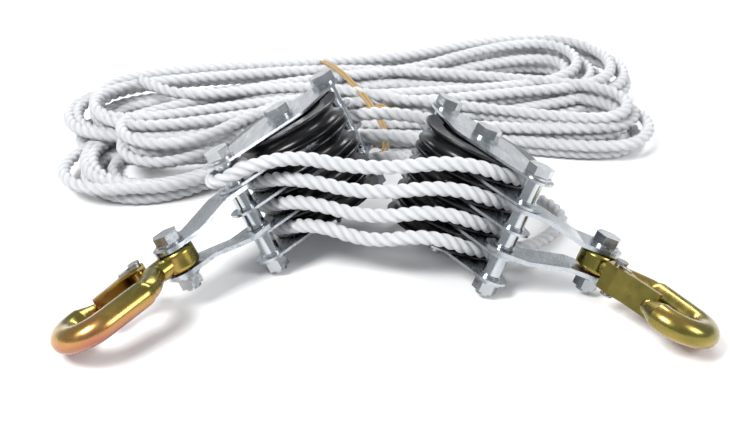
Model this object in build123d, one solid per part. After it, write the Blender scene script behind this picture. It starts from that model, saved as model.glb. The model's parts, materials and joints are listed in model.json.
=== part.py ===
from build123d import *
import os
from math import acos, atan2, cos, degrees, pi, radians, sin, sqrt, tan

# Rope hoist: two blocks of four sheaves each, laid on the floor in front of the hank of its own rope.
# Millimetres, +Z up, floor at z = 0, origin under the middle of the two blocks.

# ---- rope and sheaves ----
ROPE = 10.0                 # rope diameter
SHEAVES = 4
PITCH_R = 41.7              # rope centreline on a sheave
RIM_R = 42.0
SHEAVE_W = 15.0
HUB_W = 16.0
HUB_R = 13.0
DISH_R = 30.0               # recess in each face, round the hub
DISH_T = 2.0
GROOVE_R = ROPE / 2 + 0.25

# ---- side plates and bolts; x along the block from hook end to rope end, z up the stack ----
GAP = 18.4                  # plate to plate, centre to centre
PLATE_T = 1.8
PLATE_R = 25.0              # half width at the axle
FRONT_X = -61.0             # hook-side bolt, measured from the axle
BACK_X = 50.0               # rope-side bolt
FRONT_R = 12.0              # plate end radii round those bolts
BACK_R = 11.0
BOLT_R = 5.0
FIT = 0.08                  # radial clearance of a running fit
CLEAR = 0.3                 # side clearance between moving pieces
FLANGE_R = 9.5
FLANGE_T = 2.0
HEX_AF = 16.0
NUT_AF = 15.0
HEAD_H = 6.0
DOME_R = 34.0               # crown of a bolt head
DOME_RISE = 1.2             # how far its sphere would rise over the flat of the head
NUT_H = 7.0
THREAD_OUT = 2.5            # bolt end showing past its nut
SPACER_R = 6.5
COLLAR_R = 7.4
COLLAR_T = 1.5
BUSH_R = 8.0

# ---- straps, hook bolt, hook ----
STRAP_L = 62.0
STRAP_W = 25.0
STRAP_T = 3.0
EYE_R = 13.0
EYE_T = 15.0
STRAP_IN = 8.0              # strap inner face at the hook bolt, from the middle plane
NECK_W, NECK_H = 8.4, 7.2   # half width and half thickness of the hook's neck
BOWL_W, BOWL_H = 9.6, 8.4   # the same in its bowl
BOWL_U = 75.0               # bowl centre from the hook bolt
BOWL_C = 17.0               # bowl centreline radius
NOSE_U = 72.0               # where the nose starts to taper
NOSE_TIP = (61.5, 16.0)     # centre of its round end
NOSE_R = 5.0
SHOULDER_U = 44.0           # where the neck runs into the bowl
EYE_ROUND = 3.5
PIN_U, PIN_V = 25.0, 9.5    # latch pin in the hook's boss
PIN_R = 2.4
BOSS_R = 5.5
LATCH_T = 1.5
LATCH_Z = 9.2               # half width of the latch
LATCH_END = 61.5
LATCH_V = 13.2              # outer face of the latch
STUB_R = 3.0

# ---- how the two blocks lie ----
# side: axle centre, heading of the long axis, rise towards the rope end, roll, strap swing, hook swing
PLACES = {
    "left": dict(axle=(-55.96, 57.76, 54.90), heading=52.5, rise=8.5, roll=-27.0, strap=6.6, hook=4.0),
    "right": dict(axle=(54.04, 33.76, 49.35), heading=118.5, rise=1.5, roll=25.0, strap=-62.3, hook=-57.0),
}

# ---- free rope: the fall lies on the floor behind the right block and runs into the hank ----
LAY_Z = ROPE / 2 + 0.3
FALL_START = 16.0
FALL = [(95.5, 14.8, 11.5), (108.5, 29.8, LAY_Z + 1), (122.5, 46.8, LAY_Z), (131.5, 65.8, LAY_Z),
        (125.5, 85.8, LAY_Z), (110.5, 101.8, LAY_Z), (94.5, 113.8, LAY_Z), (85.0, 128.8, LAY_Z)]
FALL_END = (84.4, 141.7, LAY_Z)
HANK_H = 46.0
TWINE_X = -35.5
TWINE_T = 2.6


def frame_of(side):
    """Plane whose x runs along the block and whose z runs up its stack."""
    p = PLACES[side]
    h, t, r = (radians(p[k]) for k in ("heading", "rise", "roll"))
    along = Vector(cos(h) * cos(t), sin(h) * cos(t), sin(t))
    level = Vector(-sin(h), cos(h), 0)
    up = along.cross(level)
    stack = up * cos(r) - level * sin(r)
    return Plane(origin=p["axle"], x_dir=along, z_dir=stack)


def tube(outer, inner, z0, z1, x=0.0):
    ring = Cylinder(outer, z1 - z0, align=(Align.CENTER, Align.CENTER, Align.MIN))
    ring -= Cylinder(inner, z1 - z0, align=(Align.CENTER, Align.CENTER, Align.MIN))
    return Pos(x, 0, z0) * ring


def tangent_bar(x0, r0, x1, r1):
    """Flat bar round two circles on the x axis, its edges tangent to both."""
    a = acos((r0 - r1) / (x1 - x0))
    corners = [(x0 + r0 * cos(a), -r0 * sin(a)), (x1 + r1 * cos(a), -r1 * sin(a)),
               (x1 + r1 * cos(a), r1 * sin(a)), (x0 + r0 * cos(a), r0 * sin(a))]
    return Polygon(*corners, align=None) + Pos(x0, 0) * Circle(r0) + Pos(x1, 0) * Circle(r1)


def side_plate(z):
    outline = Rot(0, 0, 180) * tangent_bar(0, PLATE_R, -FRONT_X, FRONT_R)
    outline += tangent_bar(0, PLATE_R, BACK_X, BACK_R)
    for x in (FRONT_X, 0, BACK_X):
        outline -= Pos(x, 0) * Circle(BOLT_R + 0.1)
    return Pos(0, 0, z - PLATE_T / 2) * extrude(outline, PLATE_T)


def hex_prism(z0, height, across=HEX_AF):
    return Pos(0, 0, z0) * extrude(RegularPolygon(across / 2, 6, major_radius=False), height)


def flange_bolt(x, top, bottom):
    """Flanged hex bolt whose flange sits on z = top and whose end shows past the nut under z = bottom."""
    end = bottom - FLANGE_T - NUT_H - THREAD_OUT
    shank = Pos(0, 0, end) * Cylinder(BOLT_R, top - end, align=(Align.CENTER, Align.CENTER, Align.MIN))
    flange = Pos(0, 0, top) * Cylinder(FLANGE_R, FLANGE_T, align=(Align.CENTER, Align.CENTER, Align.MIN))
    crown = Pos(0, 0, top + FLANGE_T + HEAD_H + DOME_RISE - DOME_R) * Sphere(DOME_R)
    head = hex_prism(top + FLANGE_T, HEAD_H) & crown
    return Pos(x, 0, 0) * (shank + flange + head)


def flange_nut(x, bottom):
    flange = tube(FLANGE_R, BOLT_R, bottom - FLANGE_T, bottom)
    nut = hex_prism(bottom - FLANGE_T - NUT_H, NUT_H, NUT_AF)
    nut -= Pos(0, 0, bottom) * Cylinder(BOLT_R, 4 * NUT_H)
    return Pos(x, 0, 0) * (flange + nut)


def spacer(x, z0, z1):
    """Spacer tube with a turned collar at each end."""
    body = tube(SPACER_R, BOLT_R + 0.1, z0, z1, x)
    for a, b in ((z0, z0 + COLLAR_T), (z1 - COLLAR_T, z1)):
        body += tube(COLLAR_R, BOLT_R + 0.1, a, b, x)
    return body


def sheave(z):
    wheel = Cylinder(RIM_R, SHEAVE_W)
    wheel -= Torus(PITCH_R, GROOVE_R)
    rims = wheel.edges().filter_by(GeomType.CIRCLE).group_by(SortBy.RADIUS)[-1]
    wheel = fillet(rims, 1.0)
    dish = tube(DISH_R, HUB_R + 2, 0, 2 * DISH_T)
    wheel -= Pos(0, 0, SHEAVE_W / 2 - DISH_T) * dish
    wheel -= Pos(0, 0, -SHEAVE_W / 2 - DISH_T) * dish
    wheel += Cylinder(HUB_R, HUB_W)
    wheel -= Cylinder(BUSH_R + FIT, HUB_W + 2)
    return Pos(0, 0, z) * wheel


def strap(sign):
    """Strap between the hook-side bolt and the hook bolt; sign +1 is the upper one."""
    tie = GAP - PLATE_T / 2 - CLEAR - STRAP_T       # its inner face at the block
    half = STRAP_W / 2
    inner = [(half, tie), (-16, tie), (-STRAP_L + 18, STRAP_IN), (-STRAP_L - half, STRAP_IN)]
    outer = [(x, z + STRAP_T) for x, z in reversed(inner)]
    profile = make_face(Polyline(*(Vector(x, 0, z) for x, z in inner + outer), close=True))
    bar = extrude(profile, half, dir=(0, 1, 0), both=True)
    plan = Pos(-STRAP_L / 2, 0) * SlotCenterToCenter(STRAP_L, STRAP_W)
    plan -= Pos(0, 0) * Circle(BOLT_R + FIT)
    plan -= Pos(-STRAP_L, 0) * Circle(BOLT_R + 0.1)
    bar &= extrude(plan, 30)
    return bar if sign > 0 else bar.mirror(Plane.XY)


def rod(points, fillets, half_width, half_height=None):
    """Bar of round or elliptical section along straight runs joined by arcs."""
    path = FilletPolyline(*points, radius=fillets)
    heading = path % 0
    if half_height is None:
        start = Plane(origin=path @ 0, z_dir=heading)
        return sweep(start * Circle(half_width), path=path)
    start = Plane(origin=path @ 0, x_dir=Vector(-heading.Y, heading.X, 0), z_dir=heading)
    return sweep(start * Ellipse(half_width, half_height), path=path)


def hook():
    """Forged hook, eye at the origin, reaching along -x, mouth on the +y side."""
    eye = Cylinder(EYE_R, EYE_T)
    eye = fillet(eye.edges().filter_by(GeomType.CIRCLE), EYE_ROUND)
    neck_bends = [9, 15]
    neck = rod([(-6, 0), (-22, 0), (-38, -BOWL_C), (-SHOULDER_U - 12, -BOWL_C)], neck_bends, NECK_W, NECK_H)
    far = -(BOWL_U + BOWL_C)
    bend = BOWL_C - 0.2
    bowl = rod([(-SHOULDER_U, -BOWL_C), (far, -BOWL_C), (far, BOWL_C), (-NOSE_U, BOWL_C)],
               [bend, bend], BOWL_W, BOWL_H)
    cap = scale(Sphere(1), by=(BOWL_W, BOWL_W, BOWL_H))
    body = eye + neck + bowl
    body += Pos(-SHOULDER_U, -BOWL_C, 0) * cap
    wide = Plane(origin=(-NOSE_U, BOWL_C, 0), x_dir=(0, 1, 0), z_dir=(1, 0, 0))
    narrow = Plane(origin=(-NOSE_TIP[0], NOSE_TIP[1], 0), x_dir=(0, 1, 0), z_dir=(1, 0, 0))
    body += loft([wide * Ellipse(BOWL_W, BOWL_H), narrow * Circle(NOSE_R)])
    body += Pos(-NOSE_TIP[0], NOSE_TIP[1], 0) * Sphere(NOSE_R)
    body += Pos(-PIN_U, PIN_V, 0) * Cylinder(BOSS_R, 2 * NECK_H - 1.0)
    body -= Cylinder(BOLT_R + FIT, EYE_T + 2)
    body -= Pos(-PIN_U, PIN_V, 0) * Cylinder(PIN_R, 4 * BOWL_H)
    return body


def latch():
    """Sheet gate: two cheeks on the boss, a web along the mouth, its end just inside the nose."""
    over = PIN_V + BOSS_R + 0.6                     # the web's inner face where it crosses the boss
    outer = [(-20, over + LATCH_T), (-30, over + LATCH_T), (-40, LATCH_V), (-LATCH_END, LATCH_V - 3.0)]
    inner = [(x, y - LATCH_T) for x, y in reversed(outer)]
    solid = extrude(Polygon(*outer, *inner, align=None), LATCH_Z, both=True)
    cheek = Polygon((-20, over + 0.5), (-30, over + 0.5), (-40, LATCH_V - 0.7), (-LATCH_END, LATCH_V - 3.8),
                    (-LATCH_END, LATCH_V - 6.0), (-40, LATCH_V - 4.0), (-32, 6.5), (-28, 4), (-21.5, 4),
                    (-19, PIN_V), align=None)
    solid += extrude(cheek, LATCH_Z, both=True) - extrude(cheek, LATCH_Z - LATCH_T, both=True)
    stub = Cylinder(STUB_R, 5.0, align=(Align.CENTER, Align.CENTER, Align.MIN))
    solid += Pos(-LATCH_END + STUB_R + 1, LATCH_V - 4.0, 0) * Rot(90, 0, 0) * stub
    return solid - Pos(-PIN_U, PIN_V, 0) * Cylinder(PIN_R + FIT, 4 * LATCH_Z)


def latch_pin():
    pin = Cylinder(PIN_R, 2 * (LATCH_Z + 2.5))
    head = Cylinder(PIN_R + 1.8, 1.0)
    for side in (1, -1):
        pin += Pos(0, 0, side * (LATCH_Z + 3.0)) * head
    return Pos(-PIN_U, PIN_V, 0) * pin


def latch_spring():
    """Coil of the return spring round the pin, with its leg along the gate."""
    coil = tube(PIN_R + 1.5, PIN_R + 0.1, LATCH_Z + CLEAR, LATCH_Z + CLEAR + 2.0)
    leg_l, wire_r = 12.0, 0.7
    leg = Rot(0, 90, 0) * Cylinder(wire_r, leg_l)
    leg = Pos(-leg_l / 2, PIN_R + 0.8, LATCH_Z + CLEAR + 1.0) * leg
    return Pos(-PIN_U, PIN_V, 0) * (coil + leg)


def on_polygon(start, stop, steps):
    """Corners of the outline that an arc of the rope's centreline fills, in the sheave's plane."""
    step = (stop - start) / steps
    reach = PITCH_R / cos(radians(step / 2))
    return [(reach * cos(radians(a)), reach * sin(radians(a)))
            for a in (start + step * (k + 0.5) for k in range(steps))]


# The rope's way past each block, in the block's own x and y: outside the rope-side bolt, round the
# sheave, and off towards the other block once it is clear of the plates.
LEFT_TIE = (BACK_X + 15.5, 3.5)
RIGHT_TIE = (BACK_X + 8.8, -11.0)
LEFT_FREE = (-40.0, -30.0)
RIGHT_FREE = (-30.0, 38.0)
LAST_OUT = 200.0            # where the fall leaves the last sheave
EYE_TURN = SPACER_R + ROPE / 2 + 0.2
BEND = 0.97 * PITCH_R
TIE_BEND = 11.0
FREE_BEND = 24.0
SAG = 11.0                  # how far the slack near runs hang below a straight line at their middle


def gap_z(i):
    return (1.5 - i) * GAP


def touch(point, side, about=(0.0, 0.0), radius=PITCH_R):
    """Angle at which a line from the point touches the circle, on the side +1 or -1."""
    x, y = point[0] - about[0], point[1] - about[1]
    return degrees(atan2(y, x) + side * acos(radius / sqrt(x * x + y * y))) % 360


def reeved_rope():
    """The rope in the blocks, from the eye on the left block's hook-side bolt to the last right sheave."""
    left, right = frame_of("left"), frame_of("right")
    eye_at = (FRONT_X, 0.0)
    off = radians(touch(LEFT_FREE, -1, eye_at, EYE_TURN))
    start = (FRONT_X + EYE_TURN * cos(off), EYE_TURN * sin(off))
    points, bends = [left.from_local_coords(Vector(*start, gap_z(0)))], []

    def add(plane, xy, i, bend):
        points.append(plane.from_local_coords(Vector(xy[0], xy[1], gap_z(i))))
        bends.append(bend)

    left_in, left_out = touch(LEFT_TIE, 1), touch(LEFT_FREE, -1)
    right_in, right_out = touch(RIGHT_FREE, 1), touch(RIGHT_TIE, -1)
    for i in range(SHEAVES):
        add(left, LEFT_FREE, i, FREE_BEND)
        low = left.from_local_coords(Vector(*LEFT_FREE, gap_z(i))) + right.from_local_coords(
            Vector(*RIGHT_FREE, gap_z(i)))
        points.append(low / 2 - Vector(0, 0, SAG))
        bends.append(2 * FREE_BEND)
        add(right, RIGHT_FREE, i, FREE_BEND)
        if i == SHEAVES - 1:
            break
        for xy in on_polygon(right_in, right_out, 3):
            add(right, xy, i, BEND)
        add(right, RIGHT_TIE, i, TIE_BEND)
        add(left, LEFT_TIE, i + 1, TIE_BEND)
        for xy in on_polygon(left_in, left_out, 3):
            add(left, xy, i + 1, BEND)
    for xy in on_polygon(right_in, LAST_OUT, 1):
        add(right, xy, SHEAVES - 1, BEND)
    out = radians(LAST_OUT)
    add(right, (PITCH_R * cos(out), PITCH_R * sin(out)), SHEAVES - 1, 0)
    bends.pop()
    rope = rod(points, bends, ROPE / 2)
    eye = left.location * Pos(FRONT_X, 0, gap_z(0)) * Torus(EYE_TURN, ROPE / 2)
    return rope + eye, points[-1], (points[-1] - points[-2]).normalized()


def save(name, shape):
    export_step(shape, f"parts/{name}.step")


def build_block(side):
    plane = frame_of(side)
    place = plane.location
    top = 2 * GAP + PLATE_T / 2
    nodes = {}
    for k in range(SHEAVES + 1):
        nodes[f"plate_{k + 1}"] = side_plate((2 - k) * GAP)
    for name, x in (("front", FRONT_X), ("axle", 0.0), ("back", BACK_X)):
        nodes[f"{name}_bolt"] = flange_bolt(x, top, -top)
        nodes[f"{name}_nut"] = flange_nut(x, -top)
    face = PLATE_T / 2
    nodes["back_spacers"] = Compound([spacer(BACK_X, (k - 2) * GAP + face, (k - 1) * GAP - face)
                                      for k in range(SHEAVES)])
    room = STRAP_T + 2 * CLEAR
    front = [(GAP + face, 2 * GAP - face), (face, GAP - face - room)]
    front += [(-b, -a) for a, b in front]
    nodes["front_spacers"] = Compound([spacer(FRONT_X, a, b) for a, b in front])
    nodes["axle_bushes"] = Compound([tube(BUSH_R, BOLT_R + 0.1, (k - 2) * GAP + face, (k - 1) * GAP - face)
                                     for k in range(SHEAVES)])
    for k in range(SHEAVES):
        nodes[f"sheave_{k + 1}"] = sheave(gap_z(k))

    swing = Pos(FRONT_X, 0, 0) * Rot(0, 0, -PLACES[side]["strap"])
    nodes["strap_upper"] = swing * strap(1)
    nodes["strap_lower"] = swing * strap(-1)
    outer = STRAP_IN + STRAP_T
    nodes["hook_bolt"] = swing * flange_bolt(-STRAP_L, outer, -outer)
    nodes["hook_nut"] = swing * flange_nut(-STRAP_L, -outer)
    turn = swing * Pos(-STRAP_L, 0, 0) * Rot(0, 0, PLACES[side]["hook"])
    for name, shape in (("hook", hook()), ("latch", latch()), ("latch_pin", latch_pin()),
                        ("latch_spring", latch_spring())):
        nodes[name] = turn * shape
    out = {}
    for name, shape in nodes.items():
        out[f"{side}_{name}"] = place * shape
    return out


def hank_solid():
    """Outer shape of the tied hank: a long flat bundle, thicker in the middle than at its loops."""
    outline = [(-267, 149), (-238, 97), (-172, 83), (-118, 107), (-62, 133), (15, 139), (107, 143),
               (200, 156), (241, 191), (245, 243), (220, 303), (145, 353), (15, 366), (-125, 333),
               (-230, 259), (-267, 199)]
    face = fillet(Polygon(*outline, align=None).vertices(), 14)
    slab = extrude(face, HANK_H)
    return fillet(slab.faces().sort_by(Axis.Z)[-1].edges(), 12)


def fall_rope(start, direction):
    """Free rope from the last sheave to the hank: straight runs joined by tangent arcs."""
    points = [start, start + direction * FALL_START] + [Vector(*p) for p in FALL] + [Vector(*FALL_END)]
    radii = []
    for a, b, c in zip(points, points[1:], points[2:]):
        turn = radians((b - a).get_angle(c - b))
        radii.append(0.45 * min((b - a).length, (c - b).length) / tan(turn / 2))
    rope = rod(points, radii, ROPE / 2)
    print("fall radii", [round(r, 1) for r in radii])
    return rope


def twine(hank):
    """Jute tie over the hank, down to the floor at both sides."""
    box = hank.bounding_box()
    band = Pos(TWINE_X, (box.min.Y + box.max.Y) / 2, (HANK_H + TWINE_T) / 2) * Box(
        TWINE_T, box.size.Y + 2 * TWINE_T, HANK_H + TWINE_T)
    near = extrude(offset(hank.faces().sort_by(Axis.Z)[0], TWINE_T), -(HANK_H + TWINE_T))
    return band & near


def main():
    os.makedirs("parts", exist_ok=True)
    parts = {}
    for side in PLACES:
        parts.update(build_block(side))
    parts["rope_reeved"], tail, heading = reeved_rope()
    for name, shape in parts.items():
        save(name, shape)
    hank = hank_solid()
    save("rope_hank", hank)
    save("rope_fall", fall_rope(tail, heading))
    save("hank_twine", twine(hank) - hank)


main()
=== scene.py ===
import json
import math
import random

import bpy
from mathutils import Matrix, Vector


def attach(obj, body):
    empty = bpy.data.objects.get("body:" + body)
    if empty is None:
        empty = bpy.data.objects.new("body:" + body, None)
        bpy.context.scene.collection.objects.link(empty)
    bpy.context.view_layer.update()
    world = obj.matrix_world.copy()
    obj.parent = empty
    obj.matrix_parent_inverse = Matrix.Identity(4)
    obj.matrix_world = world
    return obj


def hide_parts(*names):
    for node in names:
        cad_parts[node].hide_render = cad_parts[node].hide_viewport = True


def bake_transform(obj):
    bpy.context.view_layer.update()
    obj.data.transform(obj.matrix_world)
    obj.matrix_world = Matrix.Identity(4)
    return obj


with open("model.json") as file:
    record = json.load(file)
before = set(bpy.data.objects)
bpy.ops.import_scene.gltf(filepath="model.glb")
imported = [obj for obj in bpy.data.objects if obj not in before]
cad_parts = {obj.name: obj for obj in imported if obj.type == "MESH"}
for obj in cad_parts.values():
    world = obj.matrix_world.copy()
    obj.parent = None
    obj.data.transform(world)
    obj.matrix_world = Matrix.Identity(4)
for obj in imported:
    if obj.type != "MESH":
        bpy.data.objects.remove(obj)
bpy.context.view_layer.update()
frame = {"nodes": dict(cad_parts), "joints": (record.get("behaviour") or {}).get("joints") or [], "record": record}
scene = bpy.context.scene

# ---- driving sizes, in metres ----
ROPE_D = 0.010
LAY = 0.024                 # length in which a strand goes once round the rope
SHEAVES = 4
PITCH_R = 0.0417            # rope centreline on a sheave
FRONT_X, BACK_X = -0.061, 0.050     # hook-side and rope-side ties, from the axle
SPACER_R = 0.0065
EYE_GAP = 0.0002            # clearance between the rope's eye and the spacer in it
EYE_TURN = SPACER_R + ROPE_D / 2 + EYE_GAP

JOINTS = {j["name"]: j for j in frame["joints"]}


# =============================== camera ===============================
LENS, SENSOR = 61.4, 36.0
CAMERA_PLACE = (-0.0133, -0.721, 0.459)
LOOKS_DOWN = 30             # degrees below the horizon


def add_camera():
    data = bpy.data.cameras.new("camera")
    data.lens = LENS
    data.sensor_width = SENSOR
    data.clip_start = 0.05
    camera = bpy.data.objects.new("camera", data)
    camera.location = CAMERA_PLACE
    camera.rotation_euler = (math.radians(90 - LOOKS_DOWN), 0, 0)
    scene.collection.objects.link(camera)
    scene.camera = camera


add_camera()


# =============================== materials ===============================
class Nodes:
    """A material's node tree, with short calls for its nodes."""

    def __init__(self, name):
        self.material = bpy.data.materials.new(name)
        self.material.use_nodes = True
        self.tree = self.material.node_tree
        self.shader = self.tree.nodes["Principled BSDF"]

    def new(self, kind, **values):
        node = self.tree.nodes.new(kind)
        for key, value in values.items():
            if key in node.inputs:
                node.inputs[key].default_value = value
            else:
                setattr(node, key, value)
        return node

    def link(self, source, target):
        self.tree.links.new(source, target)

    def set(self, **values):
        for key, value in values.items():
            self.shader.inputs[key.replace("_", " ")].default_value = value

    def coords(self, kind="Object", scale=(1, 1, 1)):
        source = self.new("ShaderNodeTexCoord").outputs[kind]
        mapping = self.new("ShaderNodeMapping")
        mapping.inputs["Scale"].default_value = scale
        self.link(source, mapping.inputs["Vector"])
        return mapping.outputs["Vector"]

    def noise(self, vector, scale, detail=3.0, roughness=0.5):
        node = self.new("ShaderNodeTexNoise", Scale=scale, Detail=detail,
                        Roughness=roughness)
        self.link(vector, node.inputs["Vector"])
        return node.outputs["Fac"]

    def ramp(self, value, stops):
        node = self.new("ShaderNodeValToRGB")
        elements = node.color_ramp.elements
        while len(elements) < len(stops):
            elements.new(0.5)
        for element, (position, colour) in zip(elements, stops):
            element.position = position
            element.color = (*colour, 1)
        self.link(value, node.inputs["Fac"])
        return node.outputs["Color"]

    def bump(self, height, strength, distance):
        node = self.new("ShaderNodeBump", Strength=strength, Distance=distance)
        self.link(height, node.inputs["Height"])
        self.into("Normal", node.outputs["Normal"])

    def into(self, socket, source):
        """Link a source to a socket of the material's shader."""
        self.link(source, self.shader.inputs[socket])

    def two_tone(self, socket, value, low, high):
        """Lead a value to a shader socket through a ramp from one (position, colour) to another."""
        self.into(socket, self.ramp(value, [low, high]))


def grey(v):
    return (v, v, v)


def rolled_zinc(name, low, high, rough_low, rough_high, grain=(1, 1, 1)):
    """Bright zinc plate on steel: cloudy brightness, fine rolling lines, small marks."""
    n = Nodes(name)
    n.set(Metallic=1.0)
    cloud = n.noise(n.coords(), 38.0, 4.0)
    n.two_tone("Base Color", cloud, (0.3, low), (0.7, high))
    marks = n.noise(n.coords(scale=grain), 260.0, 5.0, 0.6)
    n.two_tone("Roughness", marks, (0.35, grey(rough_low)), (0.7, grey(rough_high)))
    n.bump(marks, 0.25, 0.00006)
    return n.material


def black_sheave():
    """Black moulded plastic with a soft gloss."""
    n = Nodes("sheave_black")
    n.set(Specular_IOR_Level=0.32, Coat_Weight=0.18, Coat_Roughness=0.10)
    cloud = n.noise(n.coords(), 60.0, 3.0)
    n.two_tone("Base Color", cloud, (0.3, (0.003, 0.003, 0.004)), (0.75, (0.008, 0.008, 0.009)))
    n.two_tone("Roughness", cloud, (0.3, grey(0.24)), (0.7, grey(0.34)))
    fine = n.noise(n.coords(), 900.0, 2.0)
    n.bump(fine, 0.12, 0.00005)
    return n.material


# colours of the chromate film, from rose through gold to green and back
FILM = [(0.22, (0.36, 0.13, 0.09)), (0.38, (0.46, 0.24, 0.08)), (0.50, (0.36, 0.25, 0.06)),
        (0.62, (0.21, 0.18, 0.04)), (0.72, (0.24, 0.20, 0.05)), (0.84, (0.40, 0.28, 0.07))]
FACING_PAINTED_TINT = 0.22            # painted light: how far a face's colour moves along the film's ramp with the way the face points
FORGED_SPREAD = 0.16        # roughness added at the forging's roughest


def yellow_zinc(name, rough):
    """Yellow chromated steel: gold, with rose and green bands where the film changes, and painted light that turns
    faces pointing up towards green and faces pointing down towards rose.
    """
    n = Nodes(name)
    n.set(Metallic=1.0, Coat_Weight=0.2, Coat_Roughness=0.08)
    vector = n.coords()
    warp = n.noise(vector, 16.0, 2.0)
    normal = n.new("ShaderNodeNewGeometry").outputs["Normal"]
    split = n.new("ShaderNodeSeparateXYZ")
    n.link(normal, split.inputs["Vector"])
    # painted light: the up-down part of each face's normal shifts its film colour, green on top and rose
    # underneath
    lean = n.new("ShaderNodeMath", operation="MULTIPLY_ADD")
    n.link(split.outputs["Z"], lean.inputs[0])
    lean.inputs[1].default_value = FACING_PAINTED_TINT
    n.link(warp, lean.inputs[2])
    n.into("Base Color", n.ramp(lean.outputs["Value"], FILM))
    forged = n.noise(vector, 140.0, 4.0, 0.6)
    n.two_tone("Roughness", forged, (0.3, grey(rough)), (0.75, grey(rough + FORGED_SPREAD)))
    n.bump(forged, 0.22, 0.00025)
    return n.material


def rope_white():
    """White filament rope: yarn lines along the strands, with painted shade in the gaps between the yarns and in
    the hollows between the strands.
    """
    n = Nodes("rope_white")
    n.set(Specular_IOR_Level=0.45, Sheen_Weight=0.25, Sheen_Roughness=0.4)
    lobe = n.new("ShaderNodeAttribute", attribute_name="lobe")
    yarn = n.new("ShaderNodeTexWave", Scale=1.0, Distortion=1.2, Detail=2.0)
    yarn.wave_type = "BANDS"
    yarn.bands_direction = "Y"
    yarn.inputs["Detail Scale"].default_value = 1.5
    n.link(n.coords("UV", scale=(40.0, 5.2, 1.0)), yarn.inputs["Vector"])
    lines = yarn.outputs["Fac"]
    # painted shade: the lobe attribute takes the colour from grey-blue in the hollows between the strands to white
    # on their crowns
    hollow_shade_tone = n.new("ShaderNodeMix", data_type="RGBA")
    n.link(lobe.outputs["Fac"], hollow_shade_tone.inputs["Factor"])
    hollow_shade_tone.inputs["A"].default_value = (0.70, 0.73, 0.77, 1)
    hollow_shade_tone.inputs["B"].default_value = (0.97, 0.972, 0.975, 1)
    # painted shade: the low bands of the yarn lines, which are also the bump's hollows, darken the colour to 0.88
    shade = n.new("ShaderNodeMix", data_type="RGBA", blend_type="MULTIPLY")
    shade.inputs["Factor"].default_value = 1.0
    n.link(hollow_shade_tone.outputs["Result"], shade.inputs["A"])
    n.link(n.ramp(lines, [(0.0, (0.88, 0.90, 0.92)), (0.35, (1, 1, 1))]), shade.inputs["B"])
    n.into("Base Color", shade.outputs["Result"])
    n.two_tone("Roughness", lines, (0.2, grey(0.62)), (0.8, grey(0.40)))
    n.bump(lines, 0.7, 0.0003)
    return n.material


def jute():
    """Brown jute: fibres drawn out along the twine."""
    n = Nodes("jute")
    n.set(Specular_IOR_Level=0.2, Sheen_Weight=0.3, Roughness=0.85)
    fibre = n.noise(n.coords("UV", scale=(900.0, 6.0, 1.0)), 1.0, 3.0, 0.6)
    n.two_tone("Base Color", fibre, (0.3, (0.30, 0.17, 0.06)), (0.7, (0.56, 0.38, 0.17)))
    n.bump(fibre, 0.6, 0.0003)
    return n.material


def brass():
    """Plain machined brass."""
    n = Nodes("bush_brass")
    n.set(Metallic=1.0)
    cloud = n.noise(n.coords(), 80.0, 3.0)
    n.two_tone("Base Color", cloud, (0.3, (0.50, 0.36, 0.14)), (0.7, (0.64, 0.48, 0.20)))
    n.two_tone("Roughness", cloud, (0.3, grey(0.28)), (0.7, grey(0.42)))
    return n.material


# name: darkest and brightest colour, lowest and highest roughness, stretch of the marks
ZINCS = {
    "plate_zinc": ((0.40, 0.43, 0.46), (0.55, 0.58, 0.61), 0.22, 0.36, (1, 0.12, 1)),
    "bolt_zinc": ((0.34, 0.36, 0.38), (0.50, 0.52, 0.54), 0.16, 0.28),
    "spacer_steel": ((0.40, 0.43, 0.46), (0.58, 0.61, 0.64), 0.10, 0.20, (0.2, 0.2, 1)),
    "spring_steel": ((0.30, 0.30, 0.30), (0.45, 0.45, 0.44), 0.3, 0.45),
}
MATERIALS = {name: rolled_zinc(name, *look) for name, look in ZINCS.items()}
MATERIALS.update({
    "sheave_plastic": black_sheave(),
    "bush_brass": brass(),
    "hook_gold": yellow_zinc("hook_gold", 0.20),
    "latch_gold": yellow_zinc("latch_gold", 0.26),
    "rope": rope_white(),
    "twine": jute(),
})


def dress_cad():
    slots = {s["node"]: s["material_slot"] for s in frame["record"]["subparts"]}
    for name, node in frame["nodes"].items():
        node.data.materials.clear()
        node.data.materials.append(MATERIALS[slots[name]])


dress_cad()


# =============================== rope ===============================
def nurbs_line(name, points, per_span):
    """Points along the smooth line through a route, as Blender's own NURBS spline gives them."""
    curve = bpy.data.curves.new(name, "CURVE")
    curve.dimensions = "3D"
    spline = curve.splines.new("NURBS")
    spline.points.add(len(points) - 1)
    for point, place in zip(spline.points, points):
        point.co = (*place, 1)
    spline.order_u = 3
    spline.use_endpoint_u = True
    spline.resolution_u = per_span
    holder = bpy.data.objects.new(name, curve)
    scene.collection.objects.link(holder)
    bpy.context.view_layer.update()
    finished = holder.evaluated_get(bpy.context.evaluated_depsgraph_get())
    mesh = bpy.data.meshes.new_from_object(finished)
    line = [v.co.copy() for v in mesh.vertices]
    bpy.data.objects.remove(holder)
    bpy.data.meshes.remove(mesh)
    bpy.data.curves.remove(curve)
    return line


END_GAP = 0.4               # share of a step under which the line's last point is left out


def even(line, step):
    """The same line with points a step apart."""
    out, left = [line[0]], step
    for a, b in zip(line, line[1:]):
        length = (b - a).length
        at = left
        while at < length:
            out.append(a.lerp(b, at / length))
            at += step
        left = at - length
    if (out[-1] - line[-1]).length > step * END_GAP:
        out.append(line[-1])
    return out


# a strand's radius and its centre's distance from the rope's, as shares of the rope's radius
STRAND_R, STRAND_C = 0.60, 0.40
THIRD = 2 * math.pi / 3     # angle between two strands
UV_ALONG, UV_ROUND = 25.0, 12.0     # UV units to a metre of rope, and to once round it


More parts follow.
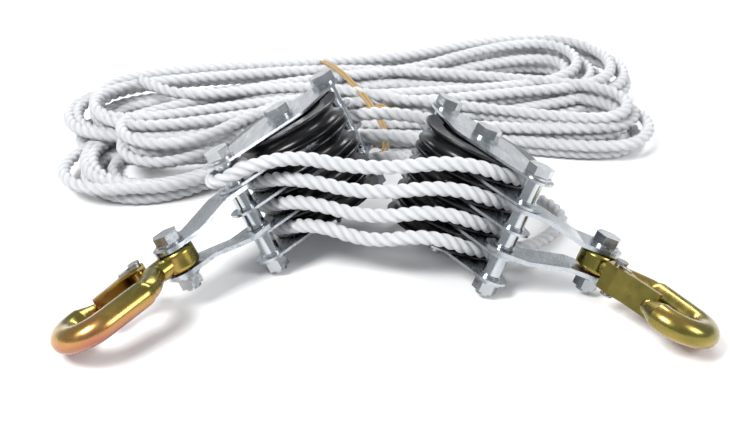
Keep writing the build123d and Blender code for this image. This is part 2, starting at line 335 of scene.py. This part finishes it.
def lobe_radius(angle):
    """Share of the rope's radius at an angle from the nearest strand's middle."""
    a = (angle + math.pi / 3) % THIRD - math.pi / 3
    return STRAND_C * math.cos(a) + math.sqrt(STRAND_R ** 2 - (STRAND_C * math.sin(a)) ** 2)


def strand_mesh(name, line, radius, lay, sides, material, step):
    """Three-strand rope as one mesh: a three-lobed section that turns once in each lay."""
    line = even(line, step)
    verts, lobes, distances = [], [], []
    along = 0.0
    tangent = (line[1] - line[0]).normalized()
    side = tangent.orthogonal().normalized()
    low, high = lobe_radius(math.pi / 3), lobe_radius(0)
    for i, centre in enumerate(line):
        ahead = line[min(i + 1, len(line) - 1)] - line[max(i - 1, 0)]
        new = ahead.normalized()
        side = (tangent.rotation_difference(new) @ side).normalized()
        side = (side - new * side.dot(new)).normalized()
        tangent = new
        up = tangent.cross(side)
        if i:
            along += (centre - line[i - 1]).length
        for k in range(sides):
            about = 2 * math.pi * k / sides
            share = lobe_radius(about)
            turn = about + 2 * math.pi * along / lay
            reach = radius * share
            verts.append(centre + (side * math.cos(turn) + up * math.sin(turn)) * reach)
            lobes.append((share - low) / (high - low))
            distances.append(along)
    faces = []
    rings = len(line)
    for i in range(rings - 1):
        for k in range(sides):
            a, b = i * sides + k, i * sides + (k + 1) % sides
            faces.append((a, b, b + sides, a + sides))
    faces.append(tuple(range(sides - 1, -1, -1)))
    faces.append(tuple((rings - 1) * sides + k for k in range(sides)))
    mesh = bpy.data.meshes.new(name)
    mesh.from_pydata(verts, [], faces)
    mesh.validate()
    # lobe: 0 in the hollows between the strands and 1 on their crowns, the mask of the rope's painted shade
    attribute = mesh.attributes.new("lobe", "FLOAT", "POINT")
    attribute.data.foreach_set("value", lobes)
    layer = mesh.uv_layers.new(name="UVMap")
    for poly in mesh.polygons:
        poly.use_smooth = True
        corners = [(l, mesh.loops[l].vertex_index) for l in poly.loop_indices]
        closes = {vertex % sides for _, vertex in corners} == {0, sides - 1}
        for l, vertex in corners:
            k = vertex % sides
            if closes and k == 0:           # the face that closes the section ends at full turn
                k = sides
            layer.data[l].uv = (distances[vertex] * UV_ALONG, k / sides * UV_ROUND)
    mesh.materials.append(material)
    piece = bpy.data.objects.new(name, mesh)
    scene.collection.objects.link(piece)
    return piece, line


class Block:
    """A block's own axes, read from its joints: x along it towards the rope end, z up the stack."""

    def __init__(self, side):
        sheaves = [Vector(JOINTS[f"{side}_sheave_{k + 1}_spin"]["pos_m"])
                   for k in range(SHEAVES)]
        tie = Vector(JOINTS[f"{side}_strap_swing"]["pos_m"])
        self.sheaves = sheaves
        self.z = Vector(JOINTS[f"{side}_strap_swing"]["axis"]).normalized()
        middle = (sheaves[0] + sheaves[-1]) / 2
        self.x = (middle - tie).normalized()
        self.y = self.z.cross(self.x)

    def at(self, xy, k):
        """The place of a point given on the block's x and y, at the height of sheave k."""
        return self.sheaves[k] + self.x * xy[0] + self.y * xy[1]


LEFT, RIGHT = Block("left"), Block("right")
# points of the route between the blocks, on a block's x and y: far runs (tie) and near runs (free)
LEFT_TIE = (BACK_X + 0.0155, 0.0035)
RIGHT_TIE = (BACK_X + 0.0088, -0.0110)
LEFT_FREE = (-0.0400, -0.0300)
RIGHT_FREE = (-0.0300, 0.0380)
LAST_OUT = 200.0            # angle, in degrees, at which the rope leaves the last sheave
WRAP_STEPS = 3              # control points in a wrap round a sheave
SAG = 0.011                 # how far the slack near runs hang at their middle


def touch(point, side, about=(0.0, 0.0), radius=PITCH_R):
    """Angle at which a line from a point touches a circle, on one side (1) or the other (-1)."""
    x, y = point[0] - about[0], point[1] - about[1]
    return math.degrees(math.atan2(y, x) + side * math.acos(radius / math.hypot(x, y))) % 360


def wrap(start, stop, steps):
    """Control points round a sheave from one angle to another, just outside the pitch circle."""
    step = (stop - start) / steps
    reach = PITCH_R / math.cos(math.radians(step / 2))
    return [(reach * math.cos(math.radians(a)), reach * math.sin(math.radians(a)))
            for a in (start + step * (k + 0.5) for k in range(steps))]


def reeved_route():
    """The rope's route through the blocks: near runs across, far runs back one groove lower."""
    off = math.radians(touch(LEFT_FREE, -1, (FRONT_X, 0.0), EYE_TURN))
    points = [LEFT.at((FRONT_X + EYE_TURN * math.cos(off), EYE_TURN * math.sin(off)), 0)]
    left_in, left_out = touch(LEFT_TIE, 1), touch(LEFT_FREE, -1)
    right_in, right_out = touch(RIGHT_FREE, 1), touch(RIGHT_TIE, -1)
    for k in range(SHEAVES):
        start, stop = LEFT.at(LEFT_FREE, k), RIGHT.at(RIGHT_FREE, k)
        points += [start, (start + stop) / 2 - Vector((0, 0, SAG)), stop]
        if k < SHEAVES - 1:
            points += [RIGHT.at(p, k) for p in wrap(right_in, right_out, WRAP_STEPS)]
            points += [RIGHT.at(RIGHT_TIE, k), LEFT.at(LEFT_TIE, k + 1)]
            points += [LEFT.at(p, k + 1) for p in wrap(left_in, left_out, WRAP_STEPS)]
    points += [RIGHT.at(p, SHEAVES - 1) for p in wrap(right_in, LAST_OUT, 1)]
    out = math.radians(LAST_OUT)
    points.append(RIGHT.at((PITCH_R * math.cos(out), PITCH_R * math.sin(out)), SHEAVES - 1))
    return points


REEVED_SPAN = 24            # points of the line to a span of the route
REEVED_CORNERS = 24         # corners of the rope's section
REEVED_STEP, EYE_STEP = 0.0014, 0.0016      # distance between the sections
EYE_POINTS = 72


def add_reeved_rope():
    """The rope between the blocks, and its eye at the left one."""
    route = reeved_route()
    line = nurbs_line("reeved_line", route, REEVED_SPAN)
    rope, _ = strand_mesh("reeved_rope", line, ROPE_D / 2, LAY, REEVED_CORNERS,
                          MATERIALS["rope"], REEVED_STEP)
    ring = []
    for k in range(EYE_POINTS + 1):
        a = 2 * math.pi * k / EYE_POINTS
        ring.append(LEFT.at((FRONT_X + EYE_TURN * math.cos(a), EYE_TURN * math.sin(a)), 0))
    eye, _ = strand_mesh("reeved_eye", ring, ROPE_D / 2, LAY, REEVED_CORNERS,
                         MATERIALS["rope"], EYE_STEP)
    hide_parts("rope_reeved")
    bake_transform(rope)
    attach(eye, "left_block")
    return route


# ---- free rope: fall and hank ----
LAY_Z = 0.0053              # centreline of rope that lies on the floor
FALL_START = 0.016          # how far the fall keeps the heading that it leaves the sheave with
# the fall along the floor, its join to the hank, and the bare end on top of the hank
FALL = [(0.0955, 0.0148, 0.0115), (0.1085, 0.0298, LAY_Z + 0.001), (0.1225, 0.0468, LAY_Z),
        (0.1315, 0.0658, LAY_Z), (0.1255, 0.0858, LAY_Z), (0.1105, 0.1018, LAY_Z),
        (0.0945, 0.1138, LAY_Z), (0.0850, 0.1288, LAY_Z)]
JOIN = [(0.0840, 0.1418, LAY_Z), (0.0730, 0.1570, LAY_Z), (0.0500, 0.1655, LAY_Z),
        (0.0200, 0.1680, LAY_Z)]
TAIL = [(0.000, 0.205, 0.0405), (-0.055, 0.222, 0.0412), (-0.105, 0.216, 0.0410),
        (-0.150, 0.206, 0.0400), (-0.182, 0.216, 0.0405), (-0.200, 0.236, 0.0408)]
TIE_X, TIE_Y = -0.0355, 0.244       # where the jute tie goes round the bundle
TURNS = 18
LANES = 5                           # turns side by side in one layer
LAYER_H = 0.0096                    # height of a layer above the one under it
POINTS_PER_TURN = 24
CROWD = 0.5                         # draws the points of a turn together at its two ends
FIRST_ANGLE = 1.72                  # the fall comes in on the near side, left of the tie
# Each end of a loop is laid in one of two ways: slope of the bundle's middle line, half width of
# the inmost turn, and how much wider the outmost turn is.
LEFT_ENDS = [(0.20, 0.034, 0.030), (0.66, 0.037, 0.021)]
RIGHT_ENDS = [(0.26, 0.036, 0.030), (-0.17, 0.032, 0.008)]
LEFT_REACH, RIGHT_REACH = [-0.263, -0.243], [0.222, 0.232]      # x of the outmost loop's end
LEFT_SHORTER, RIGHT_SHORTER = 0.040, 0.046      # how much the inmost loop falls short of that
END_PLAY, DRIFT = 0.012, 0.006      # how far a loop's end and its run may stray
RIPPLE = 0.0015                     # rise and fall of a turn in its layer
WAIST, WAIST_MORE = 0.009, 0.066    # half width at the tie: inmost turn, and extra for the outmost
# distances from the tie over which the middle line leans, the loops widen and the drift sets in
LEAN_SPAN, WIDEN_SPAN, DRIFT_SPAN = 0.12, 0.17, 0.10
SEED = 23


def away_from_tie(x, span):
    """0 at the tie, rising smoothly to 1 at a distance of one span."""
    t = max(0.0, min(1.0, abs(x - TIE_X) / span))
    return t * t * (3 - 2 * t)


def middle_line(x, slope):
    """The bundle's middle line at x, and its normal, for a loop's end with this slope."""
    y = TIE_Y + slope * (x - TIE_X) * away_from_tie(x, LEAN_SPAN)
    return Vector((x, y, 0)), Vector((-slope, 1, 0)).normalized()


def half_width(x, share, inner, more):
    """Half the width of a turn at x. Its share is 0 for the inmost turn and 1 for the outmost."""
    near = WAIST + WAIST_MORE * share
    far = inner + more * share
    return near + (far - near) * away_from_tie(x, WIDEN_SPAN)


def hank_points():
    """Control points of the hank's turns, each a long loop through the tie, laid in layers."""
    rng = random.Random(SEED)
    points = []
    for turn in range(TURNS):
        layer, lane = divmod(turn, LANES)
        lane = LANES - 1 - lane if layer % 2 == 0 else lane
        share = (lane + (0.5 if layer % 2 else 0.0)) / (LANES - 0.5)
        left_kind, right_kind = (turn * 5 // 3) % 2, (turn + layer) % 2
        left_end = LEFT_REACH[left_kind] + LEFT_SHORTER * (1 - share) + rng.uniform(0.0, END_PLAY)
        right_end = (RIGHT_REACH[right_kind] - RIGHT_SHORTER * (1 - share)
                     - rng.uniform(0.0, END_PLAY))
        drift = [rng.uniform(-DRIFT, DRIFT) for _ in range(3)]
        half = (right_end - left_end) / 2
        for k in range(POINTS_PER_TURN):
            b = 2 * math.pi * k / POINTS_PER_TURN + FIRST_ANGLE
            a = b - CROWD * math.sin(2 * b) / 2
            c, s = math.cos(a), math.sin(a)
            x = (left_end + right_end) / 2 + half * c
            ends = LEFT_ENDS[left_kind] if x < TIE_X else RIGHT_ENDS[right_kind]
            slope, inner, more = ends
            middle, normal = middle_line(x, slope)
            width = half_width(x, share, inner, more)
            blunt = 2 * half / width
            across = -math.copysign(width * math.sqrt(1 - abs(c) ** blunt), s)
            away = away_from_tie(x, DRIFT_SPAN)
            wave = away * (drift[0] * math.sin(3 * a) + drift[1] * math.cos(2 * a)
                           + drift[2] * math.sin(a))
            lean = away_from_tie(x, LEAN_SPAN)
            level = middle + Vector((normal.x * lean, normal.y, 0)) * (across + wave)
            z = LAY_Z + layer * LAYER_H + RIPPLE * away * math.sin(2 * a + turn)
            points.append(Vector((level.x, level.y, max(LAY_Z, z))))
    return points


FREE_SPAN = 10                      # points of the line to a span of the route
FREE_CORNERS = 12                   # corners of the rope's section
FREE_STEP, FREE_STEP_QUICK = 0.0024, 0.0034


def add_free_rope(tail, before_tail):
    """The rope from the last sheave through the fall and the hank to its bare end."""
    heading = (tail - before_tail).normalized()
    points = [tail, tail + heading * FALL_START]
    points += [Vector(p) for p in FALL + JOIN]
    points += hank_points()
    points += [Vector(p) for p in TAIL]
    line = nurbs_line("free_line", points, FREE_SPAN)
    step = FREE_STEP
    rope, path = strand_mesh("free_rope", line, ROPE_D / 2, LAY, FREE_CORNERS,
                             MATERIALS["rope"], step)
    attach(rope, "right_block")
    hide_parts("rope_fall", "rope_hank")


# ---- the hank's tie ----
TIE_HALF = 0.083                    # half of the bundle's width at the tie
TIE_TOP = 0.0452                    # lower than the highest strands, which cover it in places
TIE_SLANT = -0.42                   # the tie crosses the bundle at an angle
# exponents of the tie's outline, where less is blunter: its sides, its top and its bottom
TIE_BLUNT, TIE_OVER, TIE_UNDER = 0.8, 0.85, 0.45
TIE_NARROWS, TIE_DROPS = 0.07, 0.30     # the bundle is narrower and lower on its far side
TIE_STEPS = 40                      # control points to a turn
TIE_BESIDE = 0.003                  # the second turn lies this far beside the first
KNOT_AT = 0.62                      # share of a turn at which the knot lies, on the near side
KNOT_OFF = (0.002, 0, 0.0012)       # from there to the knot's middle
TWINE_R, TWINE_LAY = 0.0013, 0.005
TWINE_CORNERS = 12                  # corners of the twine's section
# for the turns and for the tails: points of the line to a span of the route, and their distance
TURN_SPAN, TURN_STEP = 8, 0.0008
TAIL_SPAN, TAIL_STEP = 10, 0.0006


def tie_ring(k, shift):
    """A control point of the tie round the bundle's flattened section, moved along x."""
    a = 2 * math.pi * k / TIE_STEPS - math.pi / 2
    c, s = math.cos(a), math.sin(a)
    y = math.copysign(abs(c) ** TIE_BLUNT, c) * TIE_HALF
    bulge = TIE_OVER if s > 0 else TIE_UNDER
    z = TIE_TOP / 2 + math.copysign(abs(s) ** bulge, s) * (TIE_TOP / 2 - TWINE_R)
    behind = max(0.0, c)
    y *= 1 - TIE_NARROWS * behind
    z *= 1 - TIE_DROPS * behind
    return Vector((TIE_X + shift + TIE_SLANT * y, TIE_Y + y, z))


def twine_piece(name, line_name, points, per_span, step):
    line = nurbs_line(line_name, points, per_span)
    return strand_mesh(name, line, TWINE_R, TWINE_LAY, TWINE_CORNERS, MATERIALS["twine"], step)[0]


def add_twine():
    """Jute tie: two turns round the bundle, and two bent tails that stand for its knot."""
    points = [tie_ring(k, TIE_BESIDE * k / TIE_STEPS) for k in range(2 * TIE_STEPS + 1)]
    pieces = [twine_piece("hank_tie", "tie_line", points, TURN_SPAN, TURN_STEP)]
    knot = tie_ring(TIE_STEPS * KNOT_AT, TIE_BESIDE) + Vector(KNOT_OFF)
    for turn, name in ((1, "tie_tail_long"), (-1, "tie_tail_short")):
        bends = [(-0.010, 0.003, -0.002), (0, 0, 0), (0.004, 0.003 * turn, 0.0018),
                 (0.010, 0.001, -0.0012), (0.018, -0.003 * turn, -0.0040),
                 (0.024 + 0.006 * turn, 0.002 * turn, -0.0062)]
        tail = [knot + Vector(bend) for bend in bends]
        pieces.append(twine_piece(name, name + "_line", tail, TAIL_SPAN, TAIL_STEP))
    for piece in pieces:
        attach(piece, "right_block")
    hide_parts("hank_twine")


route = add_reeved_rope()
add_free_rope(route[-1], route[-2])
add_twine()


# =============================== stage and light ===============================
FLOOR = 4                   # half of the floor's side
LIGHTS_AIM = (0, 0.1, 0)


def add_floor():
    mesh = bpy.data.meshes.new("floor")
    mesh.from_pydata([(-FLOOR, -FLOOR, 0), (FLOOR, -FLOOR, 0), (FLOOR, FLOOR, 0),
                      (-FLOOR, FLOOR, 0)], [], [(0, 1, 2, 3)])
    floor = bpy.data.objects.new("floor", mesh)
    scene.collection.objects.link(floor)
    n = Nodes("floor_white")
    n.set(Base_Color=(0.90, 0.90, 0.90, 1), Roughness=0.9, Specular_IOR_Level=0.1)
    mesh.materials.append(n.material)


def add_area(name, place, size, power, size_y=None):
    """A soft rectangular light that looks at the middle of the object."""
    data = bpy.data.lights.new(name, "AREA")
    data.shape = "RECTANGLE"
    data.size, data.size_y = size, size_y or size
    data.energy = power
    light = bpy.data.objects.new(name, data)
    light.location = place
    look = Vector(LIGHTS_AIM) - Vector(place)
    light.rotation_euler = look.to_track_quat("-Z", "Y").to_euler()
    scene.collection.objects.link(light)


def add_world():
    world = bpy.data.worlds.new("studio")
    world.use_nodes = True
    sky = world.node_tree.nodes["Background"].inputs
    sky["Color"].default_value = (0.92, 0.94, 0.96, 1)
    sky["Strength"].default_value = 0.50
    scene.world = world


add_floor()
add_world()
add_area("key", (-0.9, -0.7, 1.5), size=0.7, power=37)
add_area("fill", (1.3, -0.5, 0.9), size=0.6, power=11)
add_area("back", (0.2, 1.6, 1.3), size=1.4, power=22, size_y=0.5)
scene.view_settings.view_transform = "Standard"
